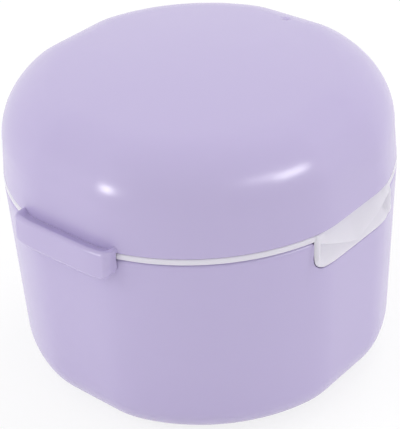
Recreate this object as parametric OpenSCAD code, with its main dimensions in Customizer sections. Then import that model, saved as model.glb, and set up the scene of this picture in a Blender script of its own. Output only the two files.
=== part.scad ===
// Denture case: a tub, a strainer basket that hangs in the tub by its white rim, and a hinged lid.
// +Z is up. The thumb tab is at -Y, the hinge at +Y, and the two white finger grips at +X and -X.
// The origin is the middle of the foot, on the surface that the case stands on.

/* [Plan] */
// Width of the case across its flat sides, at the tub's rim
case_w = 87.2; // [80:0.1:96]
// How far the round corners of the plan stand out beyond a circle inside the flat sides
corner_bulge = 1.05; // [0.6:0.05:2]
// Radius that blends each flat side into the round corners
blend_r = 22; // [19:0.5:26]

/* [Tub] */
// Height of the tub's rim
tub_h = 48.8; // [44:0.1:60]
// How much narrower each side is at the foot than at the rim
tub_draft = 1.3; // [0.8:0.1:2]
// Radius of the tub's bottom edge
tub_edge_r = 10.5; // [8:0.5:12]
// Wall of the tub
tub_wall = 2; // [1.6:0.1:2.4]
// Floor of the tub
tub_floor = 2.2; // [1.6:0.1:3]
// Width of the ring that the tub stands on
foot_w = 2.2; // [1.5:0.1:3]
// Height of the hollow inside the foot ring
foot_rise = 1; // [0.5:0.1:1.5]
// Rounding of the tub's rim
rim_r = 0.6; // [0.3:0.1:0.8]

/* [Strainer basket] */
// Thickness of the white rim that shows between tub and lid
ring_t = 1.6; // [1.2:0.1:2.4]
// How much the bowl's wall narrows down to its floor
bowl_taper = 2; // [1:0.1:3]
// Radius of the bowl's bottom edge
bowl_edge_r = 9; // [6:0.5:12]
// Wall and floor of the bowl
bowl_wall = 1.4; // [1.2:0.1:1.8]
// Height of the bowl's underside above the table
bowl_z = 9; // [8.5:0.5:12]
// Number of drain slots round the wall
slot_n = 24; // [16:2:28]
// Width of a drain slot
slot_w = 2.4; // [1.6:0.1:3]
// Height of a drain slot
slot_h = 17; // [10:1:20]
// Height of the lower end of the slots above the bowl's floor
slot_up = 9.5; // [9:0.5:12]
// Diameter of the drain holes in the floor
drain_d = 3; // [2:0.1:3.5]
// Distance from one ring of drain holes to the next
drain_pitch = 6.5; // [5.5:0.1:7]
// Number of rings of drain holes
drain_rings = 3; // [2:1:3]
// Height of the lip that the lid fits round
lip_h = 1.2; // [0.8:0.1:1.6]
// Thickness of the lips on and under the rim
lip_t = 1; // [0.8:0.1:1.2]
// Depth of the lip that drops into the tub
skirt_h = 2.4; // [1.5:0.1:4]

/* [Finger grips] */
// Width of each white grip
grip_w = 26.8; // [22:0.1:30]
// Height of the grip's lower edge above the table
grip_z = 41; // [38:0.1:43]
// How far a grip stands out of the tub's side
grip_proud = 0.3; // [0:0.1:0.6]
// Radius of the grip's lower corners
grip_corner_r = 3; // [2:0.5:5]
// Rounding of the grip's outer edges
grip_edge_r = 0.8; // [0.4:0.1:1]
// How far the bead along each end of the grip stands out of its face
grip_bead = 0.7; // [0:0.1:0.8]
// Width of the finger scoop at the top of the rim, which runs out past both ends of the grip
scoop_w = 44; // [30:0.5:50]
// Height of the finger scoop, down from the top of the rim
scoop_h = 5.5; // [4:0.1:7]
// Depth of the finger scoop at the top of the rim
scoop_d = 2.5; // [1.5:0.1:3]

/* [Lid] */
// Wall of the lid
lid_wall = 2; // [1.6:0.1:2.4]
// How far the lid's lower edge stands back from the tub's rim
lid_back = 0.1; // [0:0.05:0.4]
// Height of the lid's upright wall
lid_side = 7.8; // [6:0.1:12]
// How much the upright wall leans in
lid_draft = 0.6; // [0.3:0.1:1]
// Width of the lid's rounded shoulder
shoulder_w = 14.8; // [10:0.1:16]
// Height of the lid's rounded shoulder
shoulder_h = 13.7; // [8:0.1:18]
// Height of the shallow dome over the shoulder
dome_h = 1.6; // [1:0.1:3]
// Depth of the small moulding mark near the hinge side of the dome
gate_d = 0.4; // [0.2:0.1:0.6]
// Diameter of that mark
gate_w = 1.6; // [1:0.1:2.4]
// Distance of that mark from the middle of the lid
gate_y = 31; // [24:0.5:32]

/* [Thumb tab] */
// Width of the thumb tab
tab_w = 27.2; // [20:0.1:36]
// How far the tab's front stands out of the tub's side
tab_proud = 3.3; // [2.8:0.1:5]
// Gap between the tab and the tub's side
tab_gap = 0.9; // [0.8:0.1:1.2]
// How far the tab reaches down below the lid's edge
tab_drop = 5.4; // [4:0.1:8]
// Height of the tab's top above the lid's edge
tab_rise = 1.4; // [1:0.1:2.5]
// Depth of the hollow along the tab's top
tab_groove = 0.5; // [0.2:0.1:0.8]
// Rounding of the tab's long edges
tab_edge_r = 1; // [0.6:0.1:1.1]
// Rounding of the tab's upright edges
tab_end_r = 1.7; // [1:0.1:2]
// Width of the rib that closes the back of the tab at each end
tab_rib_w = 1.2; // [0.8:0.1:1.6]
// Radius of the tab's lower corners
tab_corner_r = 2.6; // [1.8:0.1:3]
// Width of the catch behind the tab
catch_w = 12; // [8:0.5:16]
// How far the catch on the rim stands out
catch_out = 0.5; // [0.3:0.05:0.6]

/* [Hinge] */
// Diameter of the hinge pin
pin_d = 1.6; // [1.2:0.1:2]
// Outside diameter of the hinge knuckles
knuckle_d = 4; // [3.6:0.1:4.4]
// Length of the whole hinge
hinge_w = 24; // [20:0.5:28]
// Width of each of the lid's two hinge lugs
lug_w = 4; // [3:0.5:6]
// Height of the gusset that carries a lug, above the lid's edge
lug_h = 5.5; // [4:0.5:7]
// How far the pin's middle lies above the tub's rim
pin_up = 0.8; // [0.6:0.1:1.2]

/* [Fits] */
// Gap between the lid and the lip inside it, and between the tub and the lip inside it
lip_gap = 0.3; // [0.2:0.05:0.5]
// Gap between the ribs of the tab and the side of the tub
rib_gap = 0.15; // [0.1:0.05:0.3]
// Room between the bowl and the tub's wall
bowl_gap = 3; // [2.5:0.1:5]
// Gap between a grip and its notch in the tub
notch_gap = 0.35; // [0.3:0.05:0.6]
// Gap round the moving hinge knuckles
hinge_gap = 0.35; // [0.3:0.05:0.5]
// Gap between the pin and the knuckle that it turns in, on the radius
pin_gap = 0.05; // [0.03:0.01:0.08]
// Gap between the pin and the lugs that hold it, on the radius
pin_hold = 0.01; // [0.01:0.01:0.02]
// Gap between the two halves of the catch
catch_gap = 0.1; // [0.05:0.05:0.2]

/* [Hidden] */
$fn = 96;
tub_colour = "#b4aacf";
lid_colour = "#beb3de";
basket_colour = "#e6e3ee";
pin_colour = "#c9ccd0";
blend_n = 4;
corner_n = 9;
arc_n = 6;
small_r = 0.3;
far = 200;

// Plan: a circle with four flats, each blended into the round by an arc that touches both
half_w = case_w / 2;
bowl_r = half_w - tub_wall - bowl_gap;
corner_r = half_w + corner_bulge;
blend_x = half_w - blend_r;
blend_y = sqrt(pow(corner_r - blend_r, 2) - pow(blend_x, 2));
blend_a = atan2(blend_y, blend_x);

// Heights where the pieces meet
ring_top = tub_h + ring_t;
shoulder_z = ring_top + lid_side;
floor_z = foot_rise + tub_floor;
notch_z = grip_z - notch_gap;
notch_half = grip_w / 2 + notch_gap;

// The shoulder ends where its slope meets the slope of the dome
shoulder_in = lid_back + lid_draft;
dome_slope = 2 * dome_h / (half_w - shoulder_in - shoulder_w);
shoulder_a = atan2(shoulder_h, shoulder_w * dome_slope);
dome_z = shoulder_z + shoulder_h * sin(shoulder_a);
dome_edge = half_w - shoulder_in - shoulder_w * (1 - cos(shoulder_a));

// Hinge: the knuckles stand out of the back as far as the thumb tab stands out of the front
knuckle_r = knuckle_d / 2;
pin_y = half_w + tab_proud - knuckle_r;
pin_z = tub_h + pin_up;
middle_w = hinge_w - 2 * lug_w;
swing_r = knuckle_r + hinge_gap;

// Lips: one on the rim inside the lid, one under it inside the tub
lid_lip_in = lid_back + lid_wall + lip_gap;
tub_lip_in = tub_wall + lip_gap;
flange_in = half_w - bowl_r + bowl_wall + 1;

// Finger scoop: a sphere through the scoop's lowest point, its two top ends and its deepest point
grip_x = half_w + grip_proud;
scoop_face_r = (pow(scoop_w / 2, 2) + pow(scoop_h, 2)) / (2 * scoop_h);
scoop_out = (pow(scoop_w / 2, 2) - pow(scoop_d, 2)) / (2 * scoop_d);
scoop_r = norm([scoop_out, scoop_face_r]);
scoop_z = ring_top - scoop_h + scoop_face_r;

// Plan outline, moved in by inset
function arc(x, y, r, a, b, n) = [for (i = [0:n]) let (t = a + (b - a) * i / n) [x + r * cos(t), y + r * sin(t)]];
function quarter(inset) = concat(
    arc(blend_x, blend_y, blend_r - inset, 0, blend_a, blend_n),
    [for (i = [1:corner_n - 1]) let (t = blend_a + (90 - 2 * blend_a) * i / corner_n)
        (corner_r - inset) * [cos(t), sin(t)]],
    arc(blend_y, blend_x, blend_r - inset, 90 - blend_a, 90, blend_n));
function turned(p, a) = [p[0] * cos(a) - p[1] * sin(a), p[0] * sin(a) + p[1] * cos(a)];
function outline(inset) = [for (q = [0:3]) for (p = quarter(inset)) turned(p, 90 * q)];

// Distance of the outline from the middle plane, at v along a flat side, moved out by out
function face_at(v, out) =
    let (u = abs(v), r = blend_r + out)
    u <= blend_y ? half_w + out
    : u <= blend_y + r * sin(blend_a) ? blend_x + sqrt(r * r - pow(u - blend_y, 2))
    : sqrt(pow(corner_r + out, 2) - u * u);

// One level of a shell: inset, height and scale towards the middle
function level_points(s) = [for (p = outline(s[0])) [p[0] * s[2], p[1] * s[2], s[1]]];
function strip(k, n) = [for (i = [0:n - 1]) let (j = (i + 1) % n) [k * n + i, (k + 1) * n + i, (k + 1) * n + j, k * n + j]];

// Solid that follows the plan outline through all levels, closed flat at the first and the last one
module plan_loft(levels) {
    n = len(outline(0));
    last = (len(levels) - 1) * n;
    polyhedron(
        [for (s = levels) each level_points(s)],
        concat(
            [[for (i = [0:n - 1]) i]],
            [for (k = [0:len(levels) - 2]) each strip(k, n)],
            [[for (i = [n - 1:-1:0]) last + i]]));
}

// Ring that follows the plan outline, with levels that run once round its cross-section
module plan_ring(levels) {
    n = len(outline(0));
    m = len(levels);
    polyhedron(
        [for (s = levels) each level_points(s)],
        [for (k = [0:m - 1]) for (f = strip(0, n)) [for (v = f) v < n ? k * n + v : ((k + 1) % m) * n + v - n]]);
}

// Block whose sections are listed one after another, each with the same number of points
module section_loft(sections) {
    n = len(sections[0]);
    last = (len(sections) - 1) * n;
    polyhedron(
        [for (s = sections) each s],
        concat(
            [[for (i = [n:-1:1]) i % n]],
            [for (k = [0:len(sections) - 2]) for (f = strip(k, n)) [f[3], f[2], f[1], f[0]]],
            [[for (i = [0:n - 1]) last + i]]));
}

// Levels of the tub: up its outside from the foot, over the rim, and down its inside to the floor
function tub_levels() =
    let (foot_in = tub_draft + tub_edge_r, in_r = tub_edge_r - tub_wall)
    concat(
        [[foot_in + foot_w + foot_rise, foot_rise, 1], [foot_in + foot_w, 0, 1]],
        [for (i = [0:arc_n]) let (a = 90 * i / arc_n)
            [foot_in - tub_edge_r * sin(a), tub_edge_r * (1 - cos(a)), 1]],
        [for (i = [0:2]) let (a = 45 * i) [rim_r * (1 - cos(a)), tub_h - rim_r + rim_r * sin(a), 1]],
        [[tub_wall - small_r, tub_h, 1], [tub_wall, tub_h - small_r, 1]],
        [for (i = [arc_n:-1:0]) let (a = 90 * i / arc_n)
            [foot_in - in_r * sin(a), floor_z + in_r * (1 - cos(a)), 1]]);

module tub() {
    color(tub_colour)
    difference() {
        plan_loft(tub_levels());
        // notches that the white grips drop into
        for (side = [0, 180]) rotate([0, 0, side]) grip_notch();
        // room for the hinge knuckles in the back of the rim
        hinge_swing(hinge_w + 2 * hinge_gap);
    }
}

// Room for one grip: open at the top, with rounded lower corners, cut through the tub's side
module grip_notch() {
    r = grip_corner_r + notch_gap;
    translate([bowl_r - bowl_wall, 0, 0])
    rotate([90, 0, 90])
    linear_extrude(far)
    union() {
        translate([-notch_half + r, notch_z]) square([2 * (notch_half - r), far]);
        translate([-notch_half, notch_z + r]) square([2 * notch_half, far]);
        for (s = [-1, 1]) translate([s * (notch_half - r), notch_z + r]) circle(r);
    }
}

// Cylinder that the hinge knuckles turn in, w long
module hinge_swing(w) {
    translate([-w / 2, pin_y, pin_z]) rotate([0, 90, 0]) cylinder(r = swing_r, h = w);
}

// Cross-section of the bowl's wall and floor, from the axis out and up, and back down the inside
function bowl_section() =
    let (
        low_r = bowl_r - bowl_taper,
        c = [low_r - bowl_edge_r, bowl_z + bowl_edge_r],
        in_r = bowl_edge_r - bowl_wall,
        mouth_r = bowl_wall * 0.4)
    concat(
        [[0, bowl_z]],
        arc(c[0], c[1], bowl_edge_r, -90, 0, arc_n),
        [[bowl_r, tub_h], [bowl_r, ring_top]],
        arc(mouth_r + bowl_r - bowl_wall, ring_top - mouth_r, mouth_r, 90, 180, 3),
        arc(c[0], c[1], in_r, 0, -90, arc_n),
        [[0, bowl_z + bowl_wall]]);

// Cross-section of the white rim with its two lips, as levels round the case
function rim_levels() = [
    [small_r, tub_h, 1], [0, tub_h + small_r, 1], [0, ring_top - small_r, 1], [small_r, ring_top, 1],
    [lid_lip_in, ring_top, 1], [lid_lip_in, ring_top + lip_h - small_r, 1],
    [lid_lip_in + small_r, ring_top + lip_h, 1], [lid_lip_in + lip_t, ring_top + lip_h, 1],
    [lid_lip_in + lip_t, ring_top, 1], [flange_in, ring_top, 1], [flange_in, tub_h, 1],
    [tub_lip_in + lip_t, tub_h, 1], [tub_lip_in + lip_t, tub_h - skirt_h, 1],
    [tub_lip_in + small_r, tub_h - skirt_h, 1], [tub_lip_in, tub_h - skirt_h + small_r, 1],
    [tub_lip_in, tub_h, 1]];

// One grip: its outer face follows the tub's side, and its edges are rounded
module grip() {
    half = grip_w / 2;
    stations = concat(
        [for (i = [0:3]) -half + grip_edge_r * (1 - cos(30 * i))],
        [for (i = [1:3]) -half + grip_edge_r + (grip_corner_r - grip_edge_r) * i / 3],
        [for (i = [1:7]) (half - grip_corner_r) * (i / 4 - 1)],
        [for (i = [3:-1:1]) half - grip_edge_r - (grip_corner_r - grip_edge_r) * i / 3],
        [for (i = [3:-1:0]) half - grip_edge_r * (1 - cos(30 * i))]);
    section_loft([for (y = stations) grip_section(y, half - abs(y))]);
}

// Section of a grip at y, a distance e from the nearer end
function grip_section(y, e) =
    let (
        low = grip_z + round_off(e, grip_corner_r),
        bead = grip_bead * max(0, min(1, 2 - e / grip_edge_r)),
        out = grip_proud + bead - round_off(e, grip_edge_r),
        back = sqrt(pow(bowl_r - bowl_wall, 2) - y * y),
        f = face_at(y, out),
        r = grip_edge_r)
    concat(
        [[back, y, tub_h + ring_t * 0.6], [back, y, low]],
        [for (p = arc(f - r, low + r, r, -90, 0, 3)) [p[0], y, p[1]]],
        [[f, y, tub_h + ring_t * 0.3], [f - ring_t * 0.3, y, tub_h + ring_t * 0.6]]);

// How far an edge rounded with radius r has drawn back, a distance e from its end
function round_off(e, r) = e >= r ? 0 : r - sqrt(r * r - pow(r - e, 2));

// Sphere that hollows one grip and the rim over it
module scoop() {
    translate([grip_x + scoop_out, 0, scoop_z]) sphere(r = scoop_r);
}

module strainer_basket() {
    color(basket_colour)
    difference() {
        union() {
            difference() {
                union() {
                    plan_ring(rim_levels());
                    for (side = [0, 180]) rotate([0, 0, side]) grip();
                }
                cylinder(r = bowl_r - bowl_wall / 2, h = far);
                // room for the lid's hinge lugs
                for (s = [-1, 1])
                    translate([s * (hinge_w + middle_w) / 4, 0, 0]) hinge_swing(lug_w + 2 * hinge_gap);
            }
            rotate_extrude() polygon(bowl_section());
            basket_knuckle();
            catch_lip();
        }
        for (side = [0, 180]) rotate([0, 0, side]) scoop();
        pin_bore(pin_gap);
        drain_slots();
        drain_holes();
    }
}

// Middle knuckle of the hinge, with the web that joins it to the white rim
module basket_knuckle() {
    w = middle_w - 2 * hinge_gap;
    translate([-w / 2, pin_y, pin_z]) rotate([0, 90, 0]) cylinder(r = knuckle_r, h = w);
    translate([-w / 2, half_w - 1, tub_h + ring_t / 8]) cube([w, pin_y - half_w + 1, ring_t * 0.75]);
}

// Bore for the hinge pin, with a gap on the radius
module pin_bore(gap) {
    translate([-far / 2, pin_y, pin_z]) rotate([0, 90, 0]) cylinder(r = pin_d / 2 + gap, h = far);
}

// Lip on the front of the rim that the catch on the tab snaps under
module catch_lip() {
    translate([-catch_w / 2, -half_w - catch_out, tub_h + ring_t / 4])
        cube([catch_w, catch_out + 1, ring_t / 2]);
}

// Upright drain slots with round ends, evenly round the wall
module drain_slots() {
    low = bowl_z + slot_up;
    for (i = [0:slot_n - 1])
        rotate([0, 0, 360 * (i + 0.5) / slot_n])
        translate([bowl_r - bowl_taper - bowl_edge_r, 0, 0])
        rotate([90, 0, 90])
        linear_extrude(bowl_edge_r + bowl_taper + 1)
        union() {
            translate([-slot_w / 2, low]) square([slot_w, slot_h]);
            for (z = [low, low + slot_h]) translate([0, z]) circle(slot_w / 2);
        }
}

// Drain holes in the floor: one in the middle, with rings of six, twelve and eighteen round it
module drain_holes() {
    translate([0, 0, bowl_z - 1]) {
        cylinder(d = drain_d, h = bowl_wall + 2);
        for (k = [1:drain_rings])
            for (i = [0:6 * k - 1])
                rotate([0, 0, 360 * i / (6 * k)])
                translate([k * drain_pitch, 0, 0])
                cylinder(d = drain_d, h = bowl_wall + 2);
    }
}

// Level on the lid's shoulder, t degrees round it and off below its skin
function shoulder_level(t, off) =
    let (nx = cos(t) / shoulder_w, nz = sin(t) / shoulder_h, m = norm([nx, nz]))
    [shoulder_in + shoulder_w * (1 - cos(t)) + off * nx / m, shoulder_z + shoulder_h * sin(t) - off * nz / m, 1];

// Levels of the dome over the shoulder, off below its skin, from its edge to its middle
function dome_levels(off) =
    let (s = shoulder_level(shoulder_a, off))
    [for (k = [0.85, 0.7, 0.55, 0.4, 0.25, 0.1]) [s[0], s[1] + dome_h * (1 - k * k), k]];

// Height of the lid's skin over the middle plane, at a distance y from its middle
function lid_top(y) =
    y < dome_edge ? dome_z + dome_h * (1 - pow(y / dome_edge, 2))
    : shoulder_z + shoulder_h * sin(acos(1 - (half_w - shoulder_in - y) / shoulder_w));

// Levels of the lid: from the middle of its ceiling down its inside, round its edge and up to its top
function lid_levels() =
    let (n = 9, inner = dome_levels(lid_wall), outer = dome_levels(0))
    concat(
        [for (i = [len(inner) - 1:-1:0]) inner[i]],
        [for (i = [n:-1:0]) shoulder_level(shoulder_a * i / n, lid_wall)],
        [[lid_back + lid_wall, ring_top + small_r, 1], [lid_back + lid_wall - small_r, ring_top, 1],
         [lid_back + small_r, ring_top, 1], [lid_back, ring_top + small_r, 1]],
        [for (i = [0:n]) shoulder_level(shoulder_a * i / n, 0)],
        outer);

module lid() {
    color(lid_colour)
    difference() {
        union() {
            difference() {
                plan_loft(lid_levels());
                // room for the basket's knuckle in the lid's back edge
                hinge_swing(middle_w);
            }
            thumb_tab();
            tab_catch();
            for (s = [-1, 1]) translate([s * (hinge_w + middle_w) / 4, 0, 0]) hinge_lug();
        }
        pin_bore(pin_hold);
        gate_mark();
    }
}

// Thumb tab: sections across its width follow the tub's side
module thumb_tab() {
    half = tab_w / 2;
    ends = concat(
        [for (i = [0:2]) tab_end_r * (1 - cos(30 * i))],
        [tab_rib_w - small_r / 6, tab_rib_w],
        [for (i = [0:2]) tab_end_r + (tab_corner_r - tab_end_r) * i / 2]);
    stations = concat(
        [for (e = ends) e - half],
        [for (i = [1:9]) (half - tab_corner_r) * (i / 5 - 1)],
        [for (i = [len(ends) - 1:-1:0]) half - ends[i]]);
    section_loft([for (x = stations) tab_section(x, half - abs(x))]);
}

// Section of the thumb tab at x, a distance e from the nearer end
function tab_section(x, e) =
    let (
        low = ring_top - tab_drop + round_off(e, tab_corner_r),
        top = ring_top + tab_rise,
        out = tab_proud - round_off(e, tab_end_r),
        back = e < tab_rib_w - small_r / 12 ? rib_gap : tab_gap,
        r = tab_edge_r,
        g = tab_groove,
        in_wall = -lid_back - lid_wall / 2,
        profile = concat(
            [[back, ring_top + small_r], [back, low + small_r], [back + small_r, low]],
            arc(out - r, low + r, r, -90, 0, 4),
            arc(out - r, top - r, r, 0, 90, 4),
            [[(out - r + back) / 2, top - g * 0.8], [back / 2, top - g],
             [-lid_back, top - g * 0.6], [in_wall, top], [in_wall, ring_top + 3 * small_r]]))
    [for (p = profile) [x, -face_at(x, p[0]), p[1]]];

// Bead on the back of the tab, which snaps under the lip on the rim
module tab_catch() {
    gap = catch_out + catch_gap;
    h = tab_gap - gap + small_r;
    translate([-catch_w / 2, -half_w - tab_gap - small_r, tub_h - catch_gap])
        rotate([0, 90, 0])
        linear_extrude(catch_w)
        polygon([[0, 0], [0, small_r], [h, h], [2 * h, h], [4 * h, 0]]);
}

// One hinge lug: a ring round the pin and the gusset that joins it to the lid's wall
module hinge_lug() {
    root_y = half_w - lid_back - lid_wall * 0.7;
    top_y = half_w - lid_back - lid_draft;
    foot_z = ring_top + small_r / 2;
    translate([-lug_w / 2, 0, 0])
    rotate([90, 0, 90])
    linear_extrude(lug_w)
    union() {
        translate([pin_y, pin_z]) circle(knuckle_r);
        polygon([[root_y, foot_z], [pin_y - knuckle_r * 0.8, foot_z], [pin_y, pin_z],
                 [pin_y + knuckle_r * 0.9, ring_top], [top_y, ring_top + lug_h], [root_y, ring_top + lug_h]]);
    }
}

// Small round mark left by the moulding gate
module gate_mark() {
    ball_r = (pow(gate_w / 2, 2) + gate_d * gate_d) / (2 * gate_d);
    translate([0, gate_y, lid_top(gate_y) + ball_r - gate_d]) sphere(r = ball_r);
}

module hinge_pin() {
    color(pin_colour)
    translate([-hinge_w / 2, pin_y, pin_z])
    rotate([0, 90, 0])
    cylinder(d = pin_d, h = hinge_w);
}

tub();
strainer_basket();
lid();
hinge_pin();
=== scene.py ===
"""Looks of the denture case: a lavender tub, a white strainer basket and a hinged lavender lid.

Every piece is modelled in millimetres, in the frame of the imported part, and handed to Blender in metres.
The skins follow the plan and the main heights of the solids that they stand for.
"""

import math

import bmesh
import bpy
from mathutils import Matrix, Vector


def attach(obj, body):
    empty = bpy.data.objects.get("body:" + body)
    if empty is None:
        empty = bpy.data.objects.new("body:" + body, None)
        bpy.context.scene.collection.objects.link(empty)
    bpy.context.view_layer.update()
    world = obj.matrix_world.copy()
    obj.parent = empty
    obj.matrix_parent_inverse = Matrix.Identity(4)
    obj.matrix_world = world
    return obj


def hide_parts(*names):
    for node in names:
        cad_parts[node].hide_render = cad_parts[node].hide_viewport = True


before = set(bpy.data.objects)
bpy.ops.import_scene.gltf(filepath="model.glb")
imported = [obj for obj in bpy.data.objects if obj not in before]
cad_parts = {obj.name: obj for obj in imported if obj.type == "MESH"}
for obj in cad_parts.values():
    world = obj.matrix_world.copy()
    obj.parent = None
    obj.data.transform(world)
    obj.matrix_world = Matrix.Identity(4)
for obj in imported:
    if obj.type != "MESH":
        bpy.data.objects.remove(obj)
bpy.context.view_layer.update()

MM = 0.001
TURN = 2 * math.pi
# An edge that turns more than this stays sharp
SHARP_A = math.radians(38)

# Plan: a circle with four flats, each blended into the round by an arc
HALF_W = 43.6
CORNER_R = 44.65
BLEND_R = 22.0
BLEND_X = HALF_W - BLEND_R
BLEND_Y = math.sqrt((CORNER_R - BLEND_R) ** 2 - BLEND_X**2)
BLEND_A = math.atan2(BLEND_Y, BLEND_X)
BLEND_END = BLEND_Y + BLEND_R * BLEND_A
QUARTER = 2 * BLEND_END + CORNER_R * (TURN / 4 - 2 * BLEND_A)

# Columns of points round the case: each side reaches this far both ways from the middle of its flat
SIDE_HALF = 24
# Steps between the columns of a side without a notch, and of the corner between two sides
SIDE_STEPS = 26
CORNER_STEPS = 12
# Two columns this far to both sides of a break in the plan make a sharp step there
STEP_HALF = 0.02

# Heights where the pieces meet
TUB_H = 48.8
RING_TOP = TUB_H + 1.6

# Tub
TUB_WALL = 2.0
TUB_DRAFT = 1.3
TUB_EDGE_R = 10.5
TUB_RIM_R = 0.95
TUB_FLOOR_Z = 3.2
FOOT_IN = TUB_DRAFT + TUB_EDGE_R
# Foot ring, as distance in from its outer edge and height: the hollow under the floor, its slope and the ring
FOOT_RING = [(3.6, 1.0), (3.2, 1.0), (2.5, 0.3), (2.3, 0.08), (2.0, 0.0), (1.6, 0.0), (0.3, 0.0)]
# The floor and the underside are each closed by one flat face from here inwards
MIDDLE_IN = FOOT_IN + 14
# The round lower edge stops just short of upright, where the drafted wall takes over
EDGE_END = math.radians(88)
# Over this height the tub's columns lean towards the edges of the notches
LEAN_Z = 33.0
# The wall's nearest row lies this many radii below the rounded edge of the rim
EDGE_ROOM = 1.4

# Notches in the tub's rim, which the finger grips fill
NOTCH_HALF = 13.87
NOTCH_Z = 41.3
NOTCH_CORNER_R = 3.1
NOTCH_TOP_R = 0.6
NOTCH_EDGE_R = 0.3

# White rim, in distances in from the plan: a lip stands up inside the lid, and another hangs inside the tub
RIM_EDGE_R = 0.75
RIM_BACK = 6.6
UPPER_LIP = 2.4, 3.4
UPPER_LIP_TOP = RING_TOP + 1.2
LOWER_LIP = 2.3, 3.3
LOWER_LIP_END = TUB_H - 2.4
# Groove between the white rim and the tub's rim
GROOVE_H = 0.2
GROOVE_DEPTH = 0.7

# Finger grips: each laps a little over the edges of its notch, and the rim is cut back behind it
GRIP_HALF = 13.5
GRIP_LAP = 0.55
GRIP_REACH = GRIP_HALF + GRIP_LAP
GRIP_Z = 41.6
GRIP_CORNER_R = 3.2
GRIP_EDGE_R = 0.75
GRIP_BACK = 4
RIM_CUT_HALF = GRIP_HALF - 0.2
RIM_CUT_IN = 2.2
# Inner side of the lap, just behind the tub's face
LAP_BACK = -0.02

# Face of a grip: how far it stands proud, how much more the beads along its ends do, and how far the ends
# slope down
GRIP_PROUD = 0.22
GRIP_END_BEAD = 0.42
GRIP_SINK = 0.1
# Dished panel from the crease down to a band along the foot: its depth, and the share of its height that
# its depth never passes
GRIP_DISH = 1.7
DISH_SHARE = 0.3
FOOT_BAND = 0.5
# Share of the panel's height in which the dish falls, and the shares between which it comes up again
DISH_FALL = 0.2
DISH_END = 0.3, 1.0
# Crease over the panel: a V with a rounded point, and the rise of its arms per millimetre
CREASE_Z = 42.5
CREASE_R = 0.6
CREASE_RISE = 0.46
# Finger scoop over the crease: how steeply it starts, how fast it flattens and how crisp its lip is
SCOOP_SLOPE = 0.5
SCOOP_BEND = 0.0214
SCOOP_LIP_R = 0.06
# Distances in from an end between which its bead and its slope stop, and the panel and the scoop start
BEAD_END = 0.75, 1.55
SLOPE_END = 0.0, 1.1
PANEL_START = 1.3, 2.4
SCOOP_START = 0.9, 3.7
# Heights over the foot between which that slope starts, and heights between which the beads fade
SLOPE_START = 1.8, 4.0
BEAD_FADE = 48.2, 50.1

# Bowl of the basket
BOWL_R = 38.6
BOWL_LOW_R = 36.6
BOWL_EDGE_R = 9.0
BOWL_FLAT_R = BOWL_LOW_R - BOWL_EDGE_R
BOWL_WALL = 1.4
BOWL_Z = 9.0
BOWL_CENTRE_Z = BOWL_Z + BOWL_EDGE_R
BOWL_MOUTH_R = 0.56
SLOT_N = 24
SLOT_HALF = 1.2
SLOT_LOW = 18.5
SLOT_HIGH = 35.5
SLOT_EDGE_R = 0.35
DRAIN_R = 1.5
DRAIN_EDGE_R = 0.3
DRAIN_PITCH = 6.5
DRAIN_RINGS = 3
# Each slot lies in a cell of the wall, between these heights and with so many points along its edges
CELL_LOW = 15.5
CELL_HIGH = 38.5
CELL_ACROSS = 8
CELL_UP = 10
# The row before the rounded edge of a slot or a drain hole lies this far out from the hole
HOLE_BAND = 0.5

# Lid
LID_BACK = 0.1
LID_WALL = 2.0
LID_RIM_R = 0.3
LID_SIDE = 7.8
LID_DRAFT = 0.6
SHOULDER_Z = RING_TOP + LID_SIDE
SHOULDER_W = 14.8
SHOULDER_H = 13.7
SHOULDER_IN = LID_BACK + LID_DRAFT
DOME_H = 1.58
DOME_SLOPE = 2 * DOME_H / (HALF_W - SHOULDER_IN - SHOULDER_W)
SHOULDER_A = math.atan2(SHOULDER_H, SHOULDER_W * DOME_SLOPE)
# Heights of the rows on the upright wall, close together where the hinge's recess cuts it
LID_ROWS_INSIDE = 56, 54, 52.5, 51.2, 50.85
LID_ROWS_OUTSIDE = 51.6, 51.9, 52.2, 53, 54.5, 56, 57.2

# Mark that the moulding gate leaves on the dome: a dimple, with the stub of the sprue in its middle
GATE_X = 2.0
GATE_Y = 30.6
GATE_R = 1.3
GATE_DEPTH = 0.35
STUB_R = 0.5
STUB_H = 0.4
# Rows and columns of points across the mark, and the room that the plain columns leave for them
GATE_GRID = -1.5, -1.15, -0.95, -0.8, -0.6, -0.4, -0.2, 0, 0.2, 0.4, 0.6, 0.8, 0.95, 1.15, 1.5
GATE_ROOM = 1.6

# Thumb tab
TAB_HALF = 13.6
TAB_PROUD = 3.3
TAB_GAP = 0.9
TAB_RIB_W = 1.2
TAB_RIB_GAP = 0.15
TAB_RIB_EDGE_R = 0.3
TAB_END_R = 1.3
TAB_CORNER_R = 2.6
TAB_LOW = RING_TOP - 5.4
TAB_TOP = RING_TOP + 1.4
TAB_LEAN = 0.25
TAB_LIP_R = 0.9
TAB_BACK_R = 0.25
TAB_ROOT = RING_TOP + 0.3
# Radius of the lower front edge, and how much smaller it gets round the ends
TAB_EDGE_R = 1.15
TAB_EDGE_LESS = 0.4
# Towards its ends the top falls like an edge of this radius, but only by this share of it
TAB_TOP_R = 0.7
TAB_TOP_FALL = 0.8
# Hollow along the top: its depth at the lid's wall, and where it starts in from the ends
TAB_HOLLOW = 0.85
HOLLOW_START = 0.6, 2.4
# Depth that the tab reaches into the lid's wall
TAB_INTO_LID = 1.3

# Hinge
PIN_Y = 44.9
PIN_Z = 49.6
PIN_R = 0.8
PIN_PLAY = 0.01
KNUCKLE_R = 2.0
SWING_R = 2.35
HINGE_HALF = 12.0
MIDDLE_HALF = 8.0
HINGE_GAP = 0.35
HINGE_EDGE_R = 0.3
WEB_HALF = 0.6
WEB_ROOT_Y = 42.4
# Far enough out for a cut to take the whole rim away
PAST_CASE = 200
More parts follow.
